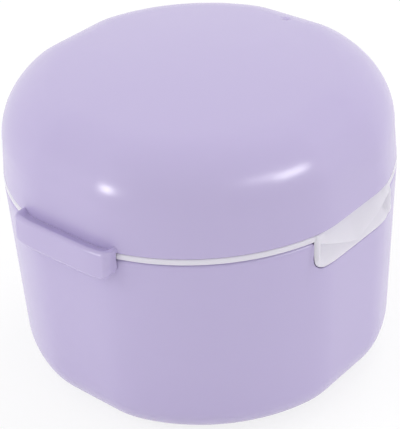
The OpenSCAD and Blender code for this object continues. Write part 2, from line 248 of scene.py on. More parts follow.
# Back of a lug, as Y and Z: the gusset that rises from its barrel to the lid's wall
LUG_GUSSET = [(45.7, 51.9), (44.9, 53.1), (44.0, 54.6), (43.1, 56.0), (42.0, 56.0), (42.0, RING_TOP)]

# Snap catch behind the thumb tab, as sections in Y and Z
CATCH_HALF = 6
CATCH_LIP_R = 0.15
CATCH_BEAD_R = 0.1
CATCH_LIP = [
    (-HALF_W - 0.5, TUB_H + 0.45),
    (-HALF_W + 0.8, TUB_H + 0.4),
    (-HALF_W + 0.8, TUB_H + 1.2),
    (-HALF_W - 0.5, TUB_H + 1.15),
]
CATCH_BEAD = [
    (-HALF_W - 0.95, 46.6),
    (-HALF_W - 1.5, 46.6),
    (-HALF_W - 1.5, 48.7),
    (-HALF_W - 0.95, 48.7),
    (-HALF_W - 0.6, 48.1),
    (-HALF_W - 0.6, 47.5),
]

# Studio: half the floor's width, and the share of plain white in what the camera and the gloss see of it,
# where the rest is the lit card with the case's shadow
FLOOR_HALF = 3000
FLOOR_WHITE = 0.8
# Strength of the plain light from all round
ROUND_LIGHT = 0.77
# What the broad lamps face, and the width and height of each
CASE_MIDDLE = 0, 0, 45
BROAD = 383, 317

# Camera, fitted to the outline of the case in the photograph
PICTURE_W = 400
PICTURE_H = 429
SENSOR = 36
CAMERA_AZIMUTH = math.radians(41.37)
CAMERA_ELEVATION = math.radians(32.642)
CAMERA_ROLL = math.radians(-2.991)
CAMERA_DISTANCE = 340.564
CAMERA_AIM = 0, 0, 32.257
FOCAL_PX = 1452.274
CENTRE_PX = 202.916, 216.246


def linear(code):
    """sRGB hex value as the linear colour that a shader takes."""
    parts = [int(code[i : i + 2], 16) / 255 for i in (1, 3, 5)]
    return [c / 12.92 if c <= 0.04045 else ((c + 0.055) / 1.055) ** 2.4 for c in parts] + [1]


def spread(a, b, n):
    """n + 1 values from a to b."""
    return [a + (b - a) * i / n for i in range(n + 1)]


def rise(x, low, high):
    """0 up to low, 1 from high on, and a smooth climb between."""
    t = max(0.0, min(1.0, (x - low) / (high - low)))
    return t * t * (3 - 2 * t)


def smooth_max(a, b, k):
    """The larger of two values, rounded where they are less than k apart."""
    h = max(k - abs(a - b), 0) / k
    return max(a, b) + h * h * k / 4


def drawn_back(e, r):
    """How far an edge rounded with radius r has drawn back, a distance e from its end."""
    return 0 if e >= r else r - math.sqrt(max(r * r - (r - e) ** 2, 0))


def arc_points(cx, cy, r, a, b, n):
    """n + 1 points of an arc from a to b degrees."""
    turned = [math.radians(t) for t in spread(a, b, n)]
    return [(cx + r * math.cos(t), cy + r * math.sin(t)) for t in turned]


# Plan of the case


def plan_at(s, inset):
    """Point of the plan, moved in by inset, at a distance s round it from the middle of the +X side."""
    side, t = divmod(s, QUARTER)
    flip = t > QUARTER / 2
    if flip:
        t = QUARTER - t
    if t <= BLEND_Y:
        x, y = HALF_W - inset, t
    elif t <= BLEND_END:
        a = (t - BLEND_Y) / BLEND_R
        x = BLEND_X + (BLEND_R - inset) * math.cos(a)
        y = BLEND_Y + (BLEND_R - inset) * math.sin(a)
    else:
        a = BLEND_A + (t - BLEND_END) / CORNER_R
        x = (CORNER_R - inset) * math.cos(a)
        y = (CORNER_R - inset) * math.sin(a)
    if flip:
        x, y = y, x
    for _ in range(int(side) % 4):
        x, y = -y, x
    return x, y


def along(v):
    """Distance round the plan from the middle of a side to where it is v off the middle plane."""
    if v <= BLEND_Y:
        return v
    if v <= BLEND_Y + BLEND_R * math.sin(BLEND_A):
        return BLEND_Y + BLEND_R * math.asin((v - BLEND_Y) / BLEND_R)
    return BLEND_END + CORNER_R * (math.asin(v / CORNER_R) - BLEND_A)


def face_at(v, out):
    """Distance of the plan from the middle plane at v along a side, moved out by out."""
    u, r = abs(v), BLEND_R + out
    if u <= BLEND_Y:
        return HALF_W + out
    if u <= BLEND_Y + r * math.sin(BLEND_A):
        return BLEND_X + math.sqrt(r * r - (u - BLEND_Y) ** 2)
    return math.sqrt((CORNER_R + out) ** 2 - u * u)


def from_grip(s):
    """Distance round the plan from the middle of the nearest grip."""
    return abs((s + QUARTER) % (2 * QUARTER) - QUARTER)


def hinge_cut(x, y, z, half):
    """Moves a point of the back out of the room that the hinge knuckles turn in."""
    dz = abs(z - PIN_Z)
    if abs(x) < half and y > 0 and dz < SWING_R:
        y = min(y, PIN_Y - math.sqrt(SWING_R**2 - dz**2))
    return x, y, z


# Meshes from rows of points


class Skin:
    """Rows of points and the faces woven between them."""

    def __init__(self):
        self.points = []
        self.faces = []

    def row(self, points):
        """Keeps a row of points and gives their numbers."""
        start = len(self.points)
        self.points.extend(points)
        return list(range(start, len(self.points)))

    def weave(self, rows, closed=True):
        """Quads between each row and the next one."""
        for a, b in zip(rows, rows[1:]):
            n = len(a)
            for i in range(n if closed else n - 1):
                j = (i + 1) % n
                self.faces.append((a[i], a[j], b[j], b[i]))

    def cap(self, row):
        """One flat face inside a row."""
        self.faces.append(tuple(row))

    def fill(self, loops):
        """Flat face inside the first loop and outside the others."""
        bm = bmesh.new()
        index = {}
        for loop in loops:
            verts = [bm.verts.new(self.points[i]) for i in loop]
            for v, i in zip(verts, loop):
                index[v] = i
            for a, b in zip(verts, verts[1:] + verts[:1]):
                bm.edges.new((a, b))
        bmesh.ops.triangle_fill(bm, edges=bm.edges, use_beauty=True, use_dissolve=False)
        self.faces.extend(tuple(index[v] for v in f.verts) for f in bm.faces)
        bm.free()


def piece(name, skin, material, body):
    """Closed mesh of a skin, smooth but for its sharp edges, riding on a body."""
    bm = bmesh.new()
    verts = [bm.verts.new([c * MM for c in p]) for p in skin.points]
    for f in skin.faces:
        if len(set(f)) > 2:
            bm.faces.new([verts[i] for i in dict.fromkeys(f)])
    bmesh.ops.remove_doubles(bm, verts=bm.verts, dist=1e-7)
    bmesh.ops.dissolve_degenerate(bm, edges=bm.edges, dist=1e-7)
    bmesh.ops.recalc_face_normals(bm, faces=bm.faces)
    mesh = bpy.data.meshes.new(name)
    bm.to_mesh(mesh)
    bm.free()
    mesh.shade_smooth()
    mesh.set_sharp_from_angle(angle=SHARP_A)
    mesh.materials.append(material)
    made = bpy.data.objects.new(name, mesh)
    bpy.context.scene.collection.objects.link(made)
    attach(made, body)
    return made


def border(rows):
    """What lies round the edge of a grid of rows, in one closed loop."""
    right = [row[-1] for row in rows[1:]]
    left = [row[0] for row in rows[-2:0:-1]]
    return list(rows[0]) + right + list(rows[-1][-2::-1]) + left


def shift_loop(loop, d):
    """A closed outline in a plane, moved d to its right, which is outwards when it runs counter-clockwise."""
    moved = []
    n = len(loop)
    for i in range(n):
        (ax, ay), (bx, by), (cx, cy) = loop[i - 1], loop[i], loop[(i + 1) % n]
        u = Vector((by - ay, ax - bx)).normalized()
        v = Vector((cy - by, bx - cx)).normalized()
        m = (u + v) / max(1 + u.dot(v), 0.2)
        moved.append((bx + m.x * d, by + m.y * d))
    return moved


def slab(name, outline, holes, low, high, r, material, body):
    """Plate with an outline and holes in Y and Z, along X from low to high, with every edge rounded."""
    skin = Skin()
    bottoms, tops = [], []
    rounding = [(1 - math.sin(a), 1 - math.cos(a)) for a in spread(0, TURN / 4, 3)]
    for k, loop in enumerate([outline] + holes):
        out = -r if k == 0 else r
        section = [(out * back, low + r * up) for back, up in rounding]
        section += [(out * back, high - r * up) for back, up in rounding[::-1]]
        rows = [skin.row([(x, u, v) for u, v in shift_loop(loop, off)]) for off, x in section]
        skin.weave(rows)
        bottoms.append(rows[0])
        tops.append(rows[-1])
    skin.fill(bottoms)
    skin.fill(tops)
    return piece(name, skin, material, body)


# Materials


def add(tree, kind, settings=None, links=None):
    """Adds a node, sets its values and links its inputs.

    Settings go by attribute or by socket, and links go from a socket to the output that feeds it.
    """
    node = tree.nodes.new(kind)
    for key, value in (settings or {}).items():
        if isinstance(key, str) and hasattr(node, key):
            setattr(node, key, value)
        else:
            node.inputs[key].default_value = value
    for key, output in (links or {}).items():
        tree.links.new(output, node.inputs[key])
    return node


def moulded_polypropylene(name, colour, roughness, see_in):
    """Injection-moulded polypropylene: a polished mould gives clear highlights, and a little light gets in.

    The skin sinks very slightly over a few millimetres as it cools, which bends reflections a little,
    and handling leaves faint hazy patches, so the gloss is not quite even.
    """
    material = bpy.data.materials.new(name)
    material.use_nodes = True
    tree = material.node_tree
    shader = tree.nodes["Principled BSDF"]
    shader.inputs["Base Color"].default_value = linear(colour)
    shader.inputs["IOR"].default_value = 1.49
    shader.inputs["Subsurface Weight"].default_value = see_in
    shader.inputs["Subsurface Radius"].default_value = (1.0, 0.8, 1.0)
    shader.inputs["Subsurface Scale"].default_value = 1.2 * MM
    where = add(tree, "ShaderNodeTexCoord")
    # sink marks about 9 mm across
    sink = add(
        tree,
        "ShaderNodeTexNoise",
        {"Scale": 1 / (9 * MM), "Detail": 1.0, "Roughness": 0.4},
        {"Vector": where.outputs["Object"]},
    )
    # mould grain, drawn as coarse as half a millimetre so that the render can show it
    grain = add(
        tree,
        "ShaderNodeTexNoise",
        {"Scale": 1 / (0.5 * MM), "Detail": 2.0},
        {"Vector": where.outputs["Object"]},
    )
    # hazy patches as large as a fingertip
    haze = add(
        tree,
        "ShaderNodeTexNoise",
        {"Scale": 1 / (14 * MM), "Detail": 4.0, "Roughness": 0.6},
        {"Vector": where.outputs["Object"]},
    )
    gloss = add(
        tree,
        "ShaderNodeMapRange",
        {
            "From Min": 0.3,
            "From Max": 0.7,
            "To Min": roughness * 0.94,
            "To Max": roughness * 1.1,
        },
        {"Value": haze.outputs["Fac"]},
    )
    sunk = add(
        tree,
        "ShaderNodeBump",
        {"Strength": 0.12, "Distance": 0.1 * MM},
        {"Height": sink.outputs["Fac"]},
    )
    fine = add(
        tree,
        "ShaderNodeBump",
        {"Strength": 0.05, "Distance": 0.01 * MM},
        {"Height": grain.outputs["Fac"], "Normal": sunk.outputs["Normal"]},
    )
    tree.links.new(gloss.outputs["Result"], shader.inputs["Roughness"])
    tree.links.new(fine.outputs["Normal"], shader.inputs["Normal"])
    return material


def drawn_steel(name):
    """Stainless steel wire, drawn through a die: fine lines run along it and blur the gloss a little."""
    material = bpy.data.materials.new(name)
    material.use_nodes = True
    tree = material.node_tree
    shader = tree.nodes["Principled BSDF"]
    shader.inputs["Base Color"].default_value = linear("#c4c6c9")
    shader.inputs["Metallic"].default_value = 1.0
    where = add(tree, "ShaderNodeTexCoord")
    # die lines run along the pin's own length, which is X
    stretch = add(
        tree,
        "ShaderNodeMapping",
        {"Scale": (1 / (8 * MM), 1 / (0.12 * MM), 1 / (0.12 * MM))},
        {"Vector": where.outputs["Object"]},
    )
    lines = add(
        tree,
        "ShaderNodeTexNoise",
        {"Scale": 1.0, "Detail": 3.0},
        {"Vector": stretch.outputs["Vector"]},
    )
    blur = add(
        tree,
        "ShaderNodeMapRange",
        {"To Min": 0.2, "To Max": 0.4},
        {"Value": lines.outputs["Fac"]},
    )
    ridge = add(
        tree,
        "ShaderNodeBump",
        {"Strength": 0.2, "Distance": 0.01 * MM},
        {"Height": lines.outputs["Fac"]},
    )
    tree.links.new(blur.outputs["Result"], shader.inputs["Roughness"])
    tree.links.new(ridge.outputs["Normal"], shader.inputs["Normal"])
    return material


LAVENDER = moulded_polypropylene("lavender polypropylene, polished mould", "#bcb1d6", 0.24, 0.15)
WHITE = moulded_polypropylene("white polypropylene, satin mould", "#dedbe5", 0.36, 0.2)
PIN_STEEL = drawn_steel("stainless steel, drawn wire")


# Columns of points round the case


def notch_path():
    """Half of a notch's edge, from its middle outwards, as (s, z, ms, mz): m points into the tub's wall."""
    corner_s, corner_z = NOTCH_HALF - NOTCH_CORNER_R, NOTCH_Z + NOTCH_CORNER_R
    path = [(s, NOTCH_Z, 0, -1) for s in spread(0, corner_s, 16)[:-1]]
    for a in spread(0, TURN / 4, 8)[:-1]:
        ms, mz = math.sin(a), -math.cos(a)
        path.append((corner_s + NOTCH_CORNER_R * ms, corner_z + NOTCH_CORNER_R * mz, ms, mz))
    top_s, top_z = NOTCH_HALF + NOTCH_TOP_R, TUB_H - NOTCH_TOP_R
    path += [(NOTCH_HALF, z, 1, 0) for z in spread(corner_z, top_z, 7)[:-1]]
    for a in spread(0, TURN / 4, 4)[:-1]:
        ms, mz = math.cos(a), -math.sin(a)
        path.append((top_s - NOTCH_TOP_R * ms, top_z - NOTCH_TOP_R * mz, ms, mz))
    path += [(s, TUB_H, 0, -1) for s in spread(top_s, SIDE_HALF, 9)]
    return path


def notch_columns():
    """One column for each point of a notch's edge: (s at the foot of the column, s, z, ms, mz)."""
    path = notch_path()
    run = [0]
    for a, b in zip(path, path[1:]):
        run.append(run[-1] + math.hypot(b[0] - a[0], b[1] - a[1]))
    right = [(SIDE_HALF * r / run[-1], *p) for r, p in zip(run, path)]
    left = [(-foot, -s, z, -ms, mz) for foot, s, z, ms, mz in right[:0:-1]]
    return left + right


def plain_columns(breaks=(), places=None):
    """Columns of a side that has no notch, with a pair close together at each of the breaks."""
    values = set(places or spread(-SIDE_HALF, SIDE_HALF, SIDE_STEPS))
    for b in breaks:
        values |= {b - STEP_HALF, b + STEP_HALF, -b - STEP_HALF, -b + STEP_HALF}
    return [(v, v, None, 0, -1) for v in sorted(values)]


def round_columns(sides, rim_z):
    """All columns round the case, from the sides at +X, +Y, -X and -Y and the corners between them."""
    columns = []
    for k, side in enumerate(sides):
        base = k * QUARTER
        for foot, s, z, ms, mz in side:
            columns.append((base + foot, base + s, rim_z if z is None else z, ms, mz))
        for s in spread(SIDE_HALF, QUARTER - SIDE_HALF, CORNER_STEPS)[1:-1]:
            columns.append((base + s, base + s, rim_z, 0, -1))
    return columns


# Tub


def tub_inset(z):
    """How far the tub's outside stands in from the rim's plan at a height."""
    if z >= TUB_EDGE_R:
        return TUB_DRAFT * (TUB_H - z) / (TUB_H - TUB_EDGE_R)
    return FOOT_IN - math.sqrt(TUB_EDGE_R**2 - (TUB_EDGE_R - z) ** 2)


def tub_place(s, z, inset):
    """Point of the tub, cut back to leave room for the hinge."""
    x, y = plan_at(s, inset)
    return hinge_cut(x, y, z, HINGE_HALF + HINGE_GAP)


def tub():
    """Tub: foot ring, round lower edge, drafted wall, rim with two notches, and the same again inside."""
    side = notch_columns()
    back = plain_columns([along(HINGE_HALF + HINGE_GAP)])
    columns = round_columns([side, back, side, plain_columns()], TUB_H)
    skin = Skin()

    def level(inset, z):
        """Row that keeps to one height."""
        return skin.row([tub_place(c[0], z, inset) for c in columns])

    def leaning(t, down, depth, inside=False):
        """Row that leans by t to the rim's edge, and lies down and depth from it in radii of its rounding."""
        points = []
        for foot, s, z, ms, mz in columns:
            r = TUB_RIM_R if z > TUB_H - NOTCH_EDGE_R else NOTCH_EDGE_R
            edge_s, edge_z = s + ms * down * r, z + mz * down * r
            height = LEAN_Z + (edge_z - LEAN_Z) * t
            inset = TUB_WALL - depth * r if inside else depth * r
            points.append(tub_place(foot + (edge_s - foot) * t, height, tub_inset(height) + inset))
        return skin.row(points)

    rows = [level(MIDDLE_IN, FOOT_RING[0][1])]
    rows += [level(FOOT_IN + inward, z) for inward, z in FOOT_RING]
    for a in spread(0, EDGE_END, 16):
        rows.append(level(FOOT_IN - TUB_EDGE_R * math.sin(a), TUB_EDGE_R * (1 - math.cos(a))))
    rows += [level(tub_inset(z), z) for z in spread(12, LEAN_Z, 9)[:-1]]
    rows += [leaning(t, EDGE_ROOM, 0) for t in spread(0, 1, 9)]
    rounding = spread(0, TURN / 4, 4)
    rows += [leaning(1, 1 - math.sin(a), 1 - math.cos(a)) for a in rounding]
    rows += [leaning(1, 1 - math.cos(a), 1 - math.sin(a), inside=True) for a in rounding[1:]]
    rows += [leaning(t, EDGE_ROOM, 0, inside=True) for t in spread(1, 0, 9)]
    rows += [level(tub_inset(z) + TUB_WALL, z) for z in spread(LEAN_Z, 12.5, 7)[1:]]
    inner = TUB_EDGE_R - TUB_WALL
    for a in spread(EDGE_END, 0, 12):
        rows.append(level(FOOT_IN - inner * math.sin(a), TUB_FLOOR_Z + inner * (1 - math.cos(a))))
    rows += [level(FOOT_IN + 0.4, TUB_FLOOR_Z), level(MIDDLE_IN, TUB_FLOOR_Z)]
    skin.weave(rows)
    skin.cap(rows[0])
    skin.cap(rows[-1])
    made = piece("tub_shell", skin, LAVENDER, "tub")
    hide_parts("tub")


# Strainer basket


def rim_place(s, z, inset):
    """Point of the white rim, cut back behind the grips and cut away for the hinge lugs."""
    if from_grip(s) < RIM_CUT_HALF:
        inset = max(inset, RIM_CUT_IN)
    x, y = plan_at(s, inset)
    if MIDDLE_HALF - HINGE_GAP < abs(x) < HINGE_HALF + HINGE_GAP:
        return hinge_cut(x, y, z, PAST_CASE)
    return x, y, z


def rim_section():
    """Section of the white rim, as distance in from the plan and height, from its back over its top."""
    r = RIM_EDGE_R
    front, back = UPPER_LIP
    top = UPPER_LIP_TOP
    # behind the upper lip the rim's top lies a hair lower, under the bowl's mouth
    low_top = RING_TOP - 0.03
    section = [(RIM_BACK, low_top), (back, low_top), (back, top - 0.15), (back - 0.08, top - 0.05)]
    section += [(back - 0.2, top), (front + 0.3, top), (front + 0.1, top - 0.08), (front, top - 0.3)]
    section += [(front, RING_TOP), (1.1, RING_TOP)]
    section += [(r * (1 - math.sin(a)), RING_TOP - r * (1 - math.cos(a))) for a in spread(0, TURN / 4, 6)]
    # the front's lower edge curves in to the groove over the tub's rim
    groove = TUB_H + GROOVE_H
    section += [(0, groove + 0.28), (0.03, groove + 0.12), (0.12, groove + 0.04), (0.25, groove)]
    section += [(GROOVE_DEPTH, groove), (GROOVE_DEPTH, TUB_H)]
    front, back = LOWER_LIP
    end = LOWER_LIP_END
    section += [(front, TUB_H), (front, end + 0.3), (front + 0.06, end + 0.1), (front + 0.2, end)]
    section += [(back - 0.2, end), (back - 0.05, end + 0.1), (back, end + 0.3), (back, TUB_H)]
    return section + [(RIM_BACK, TUB_H)]


def basket_rim():
    """White rim, with the lip that the lid fits round and the lip that drops into the tub."""
    behind_grip = plain_columns([RIM_CUT_HALF])
    lugs = plain_columns([along(MIDDLE_HALF - HINGE_GAP), along(HINGE_HALF + HINGE_GAP)])
    columns = round_columns([behind_grip, lugs, behind_grip, plain_columns()], 0)
    skin = Skin()
    rows = [skin.row([rim_place(c[0], z, inset) for c in columns]) for inset, z in rim_section()]
    skin.weave(rows + rows[:1])
    made = piece("basket_rim", skin, WHITE, "basket")
    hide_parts("strainer_basket")


def crease_z(s):
    """Height of the crease under the scoop on a grip's face."""
    return CREASE_Z + math.hypot(CREASE_R, CREASE_RISE * s)


def grip_out(s, z):
    """How far a grip's face stands out of the rim's plan.

    A bead runs along each end beside a dished panel, and over the panel the scoop starts with a crisp lip.
    """
    e, up = GRIP_REACH - abs(s), z - GRIP_Z
    r = GRIP_CORNER_R
    edge = r - math.hypot(r - e, r - up) if e < r and up < r else min(e, up)
    fold = crease_z(s)
    bead = GRIP_END_BEAD * (1 - rise(e, *BEAD_END)) * (1 - rise(z, *BEAD_FADE))
    # the dish falls steeply under the crease and comes up gently to the foot
    tall = max(fold - GRIP_Z - FOOT_BAND, 0.1)
    t = (fold - z) / tall
    dish = 0
    if 0 < t < 1:
        fall = 1 - (1 - min(t / DISH_FALL, 1)) ** 2
        dish = min(GRIP_DISH, DISH_SHARE * tall) * fall * (1 - rise(t, *DISH_END))
        dish *= rise(e, *PANEL_START)
    over = z - fold
    scoop = smooth_max(0, SCOOP_SLOPE * over - SCOOP_BEND * over * over, SCOOP_LIP_R)
    out = GRIP_PROUD + bead - dish - scoop * rise(e, *SCOOP_START)
    # the ends slope down to the tub's side, while the foot has a round edge
    slope = rise(up, *SLOPE_START)
    out -= (1 - slope) * drawn_back(max(edge, 0), GRIP_EDGE_R)
    out -= slope * (max(out, -GRIP_SINK) + GRIP_SINK) * (1 - rise(e, *SLOPE_END))
    return out - drawn_back(RING_TOP - z, RIM_EDGE_R)


def grip_heights(s):
    """Heights of a grip's points at s, close together where its face turns: foot, crease and top."""
    low = GRIP_Z + drawn_back(GRIP_REACH - abs(s), GRIP_CORNER_R)
    fold = crease_z(s)
    heights = [low + GRIP_EDGE_R * (1 - math.cos(a)) for a in spread(0, TURN / 4, 7)]
    heights += [low + v for v in (0.9, 1.15, 1.5)]
    heights += spread(low + 1.9, max(fold - 0.35, low + 2), 5)
    heights += [fold + v for v in (-0.4, -0.3, -0.2, -0.12, -0.06, 0, 0.03, 0.08, 0.15, 0.25)]
    heights += spread(fold + 0.35, RING_TOP - 0.5, 9)
    heights += [RING_TOP - RIM_EDGE_R * v for v in (0.65, 0.35, 0.15, 0.04, 0)]
    return sorted(heights)


def grip(name, turn):
    """Finger grip: it fills its notch in the tub, and its top is hollowed for a fingertip."""
    ends = [GRIP_CORNER_R * (1 - math.cos(a)) for a in spread(0, TURN / 4, 16)]
    middle = GRIP_REACH - GRIP_CORNER_R
    across = [e - GRIP_REACH for e in ends]
    across += spread(-middle, middle, 44)[1:-1]
    across += [GRIP_REACH - e for e in ends[::-1]]
    skin = Skin()

    def point(s, z, out):
        """Point that stands out from the plan, turned to the grip's own side of the case."""
        x, y = plan_at(s, -out)
        return turn * x, turn * y, z

    grid = list(zip(*[[(s, z) for z in grip_heights(s)] for s in across]))
    face = [skin.row([point(s, z, grip_out(s, z)) for s, z in line]) for line in grid]
    skin.weave(face, closed=False)
    # from the edge of the face back to the tub, in under the lap, and on to the bowl's wall
    edge = [(s, z, min(grip_out(s, z), LAP_BACK)) for s, z in border(grid)]
    shrink = GRIP_HALF / GRIP_REACH
    bowl_middle_r = BOWL_R - BOWL_WALL / 2
    root = []
    for s, z, _ in edge:
        y = plan_at(s * shrink, GRIP_BACK)[1]
        root.append((turn * math.sqrt(bowl_middle_r**2 - y * y), turn * y, min(z, RING_TOP - 0.01)))
    loops = [border(face)]
    loops.append(skin.row([point(s, z, out) for s, z, out in edge]))
    loops.append(skin.row([point(s * shrink, z, out) for s, z, out in edge]))
    loops.append(skin.row(root))
    skin.weave(loops)
    skin.cap(loops[-1])
    made = piece(name, skin, WHITE, "basket")


def bowl_radius(z, depth=0):
    """Radius of the bowl's outside at a height, moved in by depth."""
    if z >= BOWL_CENTRE_Z:
        share = (z - BOWL_CENTRE_Z) / (TUB_H - BOWL_CENTRE_Z)
        return BOWL_LOW_R + (BOWL_R - BOWL_LOW_R) * share - depth
    return BOWL_FLAT_R + math.sqrt(max((BOWL_EDGE_R - depth) ** 2 - (BOWL_CENTRE_Z - z) ** 2, 0))


def bowl_ring(skin, r, z):
    """Row of points round the bowl."""
    turns = spread(0, TURN, SLOT_N * CELL_ACROSS)[:-1]
    return skin.row([(r * math.cos(a), r * math.sin(a), z) for a in turns])


def slot_and_cell():
    """Points round a slot and round its cell of the wall, in pairs, clockwise from the upper left.

    Each is a place across, in millimetres for a slot and as an angle round the bowl for a cell, and a height.
    """
    reach = TURN / 2 / SLOT_N
    slot, cell = [], []
    for t in spread(0, 1, CELL_ACROSS)[:-1]:
        a = TURN / 2 * (1 - t)
        slot.append((SLOT_HALF * math.cos(a), SLOT_HIGH + SLOT_HALF * math.sin(a)))
        cell.append((reach * (2 * t - 1), CELL_HIGH))
    for t in spread(0, 1, CELL_UP)[:-1]:
        slot.append((SLOT_HALF, SLOT_HIGH + (SLOT_LOW - SLOT_HIGH) * t))
        cell.append((reach, CELL_HIGH + (CELL_LOW - CELL_HIGH) * t))
    # the other half is this one, turned round the middle
    slot += [(-u, SLOT_LOW + SLOT_HIGH - z) for u, z in slot]
    cell += [(-u, CELL_LOW + CELL_HIGH - z) for u, z in cell]
    return slot, cell


def slotted_wall(skin):
    """Band of the bowl's wall with the slots, woven from the outside through each slot to the inside."""
    slot, cell = slot_and_cell()
    r = SLOT_EDGE_R
    rounding = [(r * (1 - math.sin(a)), r * (1 - math.cos(a))) for a in spread(0, TURN / 4, 3)]

    def level(middle, off, depth, t=0):
        """Row round a slot, off from its edge and depth into the wall, and t of the way out to its cell."""
        points = []
        for (u, z), (cell_u, cell_z) in zip(shift_loop(slot, -off), cell):
            angle = u / bowl_radius(z)
            angle += (cell_u - angle) * t
            z += (cell_z - z) * t
            reach = bowl_radius(z, depth)
            points.append((reach * math.cos(middle + angle), reach * math.sin(middle + angle), z))
        return skin.row(points)

    for k in range(SLOT_N):
        middle = (k + 0.5) * TURN / SLOT_N
        rows = [level(middle, HOLE_BAND, 0, t) for t in spread(1, 0, 4)]
        rows += [level(middle, off, depth) for off, depth in rounding]
        rows += [level(middle, off, BOWL_WALL - depth) for off, depth in rounding[::-1]]
        rows += [level(middle, HOLE_BAND, BOWL_WALL, t) for t in spread(0, 1, 4)]
        skin.weave(rows)


def bowl_mouth(skin):
    """Wall over the slots, and its round mouth."""
    r = BOWL_MOUTH_R
    centre = BOWL_R - BOWL_WALL + r
    section = [(bowl_radius(z), z) for z in spread(CELL_HIGH, RING_TOP - 0.4, 6)]
    section += [(bowl_radius(RING_TOP) - 0.1, RING_TOP - 0.1), (BOWL_R - 0.4, RING_TOP)]
    for a in spread(0, TURN / 4, 5):
        section.append((centre - r * math.sin(a), RING_TOP - r * (1 - math.cos(a))))
    section += [(bowl_radius(z, BOWL_WALL), z) for z in spread(RING_TOP - r - 0.2, CELL_HIGH, 6)]
    skin.weave([bowl_ring(skin, radius, z) for radius, z in section])


def drain_hole(skin, x, y):
    """Round-edged hole through the bowl's floor: gives its first row, underneath, and its last, on top."""
    r = DRAIN_EDGE_R
    edge = [(HOLE_BAND, 0), (r, 0), (0.3 * r, 0.3 * r), (0, r)]
    section = [(DRAIN_R + out, BOWL_Z + up) for out, up in edge]
    section += [(DRAIN_R + out, BOWL_Z + BOWL_WALL - up) for out, up in edge[::-1]]
    turns = spread(0, TURN, 20)[:-1]
    rows = []
    for radius, z in section:
        rows.append(skin.row([(x + radius * math.cos(a), y + radius * math.sin(a), z) for a in turns]))
    skin.weave(rows)
    return rows[0], rows[-1]


def bowl_floor(skin):
    """Round lower edge and floor of the bowl, outside and inside, with rings of drain holes."""
    drains = [drain_hole(skin, 0, 0)]
    for ring in range(1, DRAIN_RINGS + 1):
        r = ring * DRAIN_PITCH
        for a in spread(0, TURN, 6 * ring)[:-1]:
            drains.append(drain_hole(skin, r * math.cos(a), r * math.sin(a)))
    for end, r in enumerate((BOWL_EDGE_R, BOWL_EDGE_R - BOWL_WALL)):
        section = []
        for a in spread(math.acos((BOWL_CENTRE_Z - CELL_LOW) / r), 0, 9):
            section.append((BOWL_FLAT_R + r * math.sin(a), BOWL_CENTRE_Z - r * math.cos(a)))
        section.append((BOWL_FLAT_R - 0.5, BOWL_CENTRE_Z - r))
        rows = [bowl_ring(skin, radius, z) for radius, z in section]
        skin.weave(rows)
        skin.fill([rows[-1]] + [drain[end] for drain in drains])


def basket_bowl():
    """Bowl of the basket: upright slots round its wall and rings of drain holes in its floor."""
    skin = Skin()
    slotted_wall(skin)
    bowl_mouth(skin)
    bowl_floor(skin)
    made = piece("basket_bowl", skin, WHITE, "basket")


# Lid


def lid_inset(z):
    """How far the lid's upright wall stands in from the plan at a height."""
    return LID_BACK + LID_DRAFT * (z - RING_TOP) / LID_SIDE


def shoulder(t, off):
    """Inset and height on the lid's shoulder, t radians round it and off below its skin."""
    nx, nz = math.cos(t) / SHOULDER_W, math.sin(t) / SHOULDER_H
    m = math.hypot(nx, nz)
    inset = SHOULDER_IN + SHOULDER_W * (1 - math.cos(t)) + off * nx / m
    return inset, SHOULDER_Z + SHOULDER_H * math.sin(t) - off * nz / m


def gate_relief(x, y):
    """How far the gate's mark lifts the lid's skin at a point of the plan."""
    d = math.hypot(x - GATE_X, y - GATE_Y)
    return STUB_H * (1 - rise(d, 0, STUB_R)) - GATE_DEPTH * (1 - rise(d, STUB_R, GATE_R))


def shoulder_steps():
    """Places of the rows round the shoulder, with close ones where the gate's mark lies."""
    steps = spread(0, SHOULDER_A, 34)
    for v in GATE_GRID:
        share = 1 - (HALF_W - (GATE_Y + v) - SHOULDER_IN) / SHOULDER_W
        if -1 < share < 1 and math.acos(share) < SHOULDER_A:
            steps.append(math.acos(share))
    steps.sort()
    return [a for i, a in enumerate(steps) if i == 0 or a - steps[i - 1] > 0.002]


